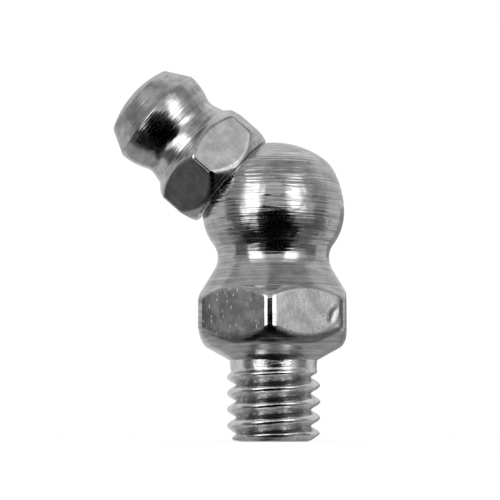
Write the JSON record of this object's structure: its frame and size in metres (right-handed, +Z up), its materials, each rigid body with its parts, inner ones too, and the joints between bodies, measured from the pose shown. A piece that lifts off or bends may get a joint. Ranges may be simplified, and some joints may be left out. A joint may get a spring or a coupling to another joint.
{
  "type": "grease nipple",
  "caption": "Angled grease nipple: threaded shank, hexagon and ball neck with a slanted six-sided collar and rounded head that holds a sprung check ball.",
  "frame": {"origin": "on the thread's axis, in the plane where the underside of the hexagon meets the relief neck above the thread", "axes": "+Z up along the thread's axis, away from the thread; the head leans towards -X; the picture looks along +Y"},
  "size_m": [0.0146, 0.0102, 0.023],
  "materials": {
    "body_steel": "bright zinc plated, turned",
    "head_steel": "bright zinc plated, turned",
    "ball_steel": "polished",
    "spring_steel": "drawn wire"
  },
  "bodies": {
    "nipple": {"angle_body": "body_steel", "nipple_head": "head_steel", "check_spring": "spring_steel"},
    "valve_ball": {"check_ball": "ball_steel"}
  },
  "joints": [
    {"name": "check_ball_lift", "type": "slide", "parent": "nipple", "child": "valve_ball", "axis": [0.749, 0, -0.6626], "range_m": [0, 0.0008], "stiffness_N_per_m": 500, "deforming": ["check_spring"]}
  ]
}
